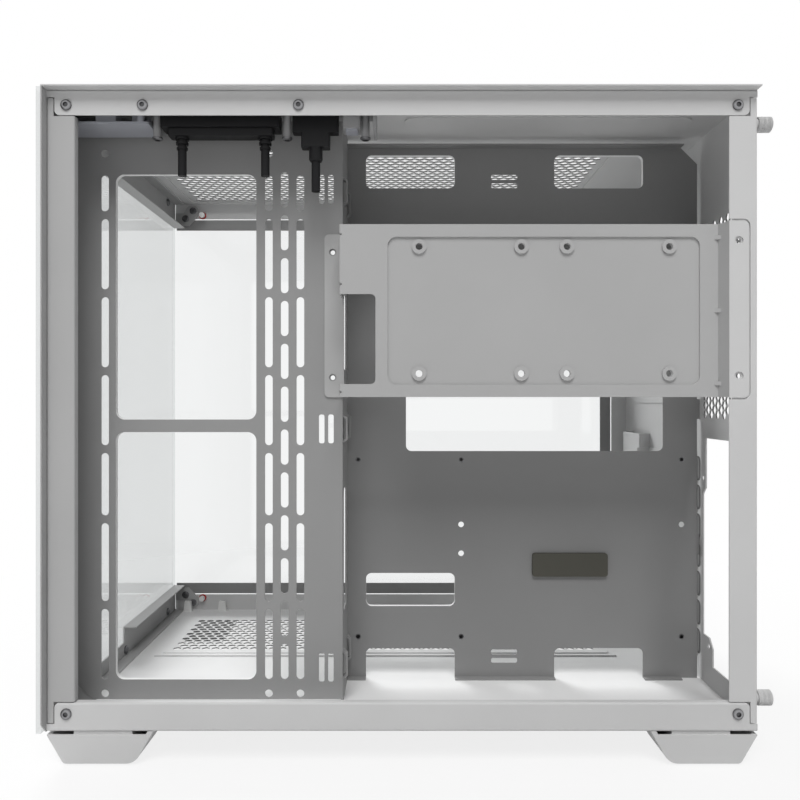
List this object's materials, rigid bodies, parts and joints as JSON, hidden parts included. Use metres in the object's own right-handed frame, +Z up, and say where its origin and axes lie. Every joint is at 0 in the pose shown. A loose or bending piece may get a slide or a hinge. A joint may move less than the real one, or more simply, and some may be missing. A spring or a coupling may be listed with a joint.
{
  "type": "computer case",
  "caption": "White two-chamber computer case with glass front and left side, right side open, with a fan plate, motherboard tray and drive bracket.",
  "frame": {"origin": "middle of the bounding box on the ground under the feet", "axes": "+Z up, the glass front faces -Y, the open right side faces +X"},
  "size_m": [0.2834, 0.4358, 0.4024],
  "materials": {
    "white_steel": "satin",
    "clear_glass": "polished",
    "pale_plastic": "matte",
    "white_plastic": "matte",
    "black_plastic": "matte",
    "grey_plastic": "matte",
    "board_laminate": "satin",
    "red_rubber": "matte",
    "black_rubber": "matte",
    "dark_pad": "matte",
    "bright_steel": "satin"
  },
  "bodies": {
    "case": {"audio_block": "grey_plastic", "audio_board": "board_laminate", "board_standoffs": "bright_steel", "cable_pad": "dark_pad", "corner_bracket_bottom": "white_steel", "corner_bracket_top": "white_steel", "corner_screws": "bright_steel", "drive_bracket": "white_steel", "drive_grommets": "white_plastic", "fan_grille": "white_steel", "fan_plate": "white_steel", "floor_mesh": "white_steel", "floor_pan": "white_steel", "foot_pads": "black_rubber", "frame_screws": "bright_steel", "front_bottom_rail": "white_steel", "front_column": "white_steel", "front_glass": "clear_glass", "front_left_foot": "pale_plastic", "front_right_foot": "pale_plastic", "front_skin": "white_steel", "front_top_rail": "white_steel", "glass_frame": "white_steel", "glass_pegs": "bright_steel", "glass_rests": "white_plastic", "holder_screws": "bright_steel", "motherboard_tray": "white_steel", "panel_thumbscrews": "bright_steel", "peg_rings": "red_rubber", "port_holder": "grey_plastic", "rail_rivets": "bright_steel", "rear_left_foot": "pale_plastic", "rear_panel": "white_steel", "rear_right_foot": "pale_plastic", "rear_vent": "white_steel", "reversible_usb_block": "black_plastic", "reversible_usb_lead": "black_rubber", "side_glass": "clear_glass", "slot_clamp": "white_steel", "slot_cover_1": "white_steel", "slot_cover_2": "white_steel", "slot_cover_3": "white_steel", "slot_cover_4": "white_steel", "slot_cover_5": "white_steel", "slot_cover_6": "white_steel", "slot_cover_7": "white_steel", "slot_screws": "bright_steel", "switch_board": "board_laminate", "top_frame": "white_steel", "top_panel": "white_steel", "usb_block": "black_plastic", "usb_leads": "black_rubber"},
    "power_button": {"power_button": "white_plastic"},
    "reset_button": {"reset_button": "white_plastic"}
  },
  "joints": [
    {"name": "power_button_press", "type": "slide", "parent": "case", "child": "power_button", "axis": [0, 0, -1], "range_m": [0, 0.0012], "stiffness_N_per_m": 400},
    {"name": "reset_button_press", "type": "slide", "parent": "case", "child": "reset_button", "axis": [0, 0, -1], "range_m": [0, 0.0012], "stiffness_N_per_m": 400}
  ]
}
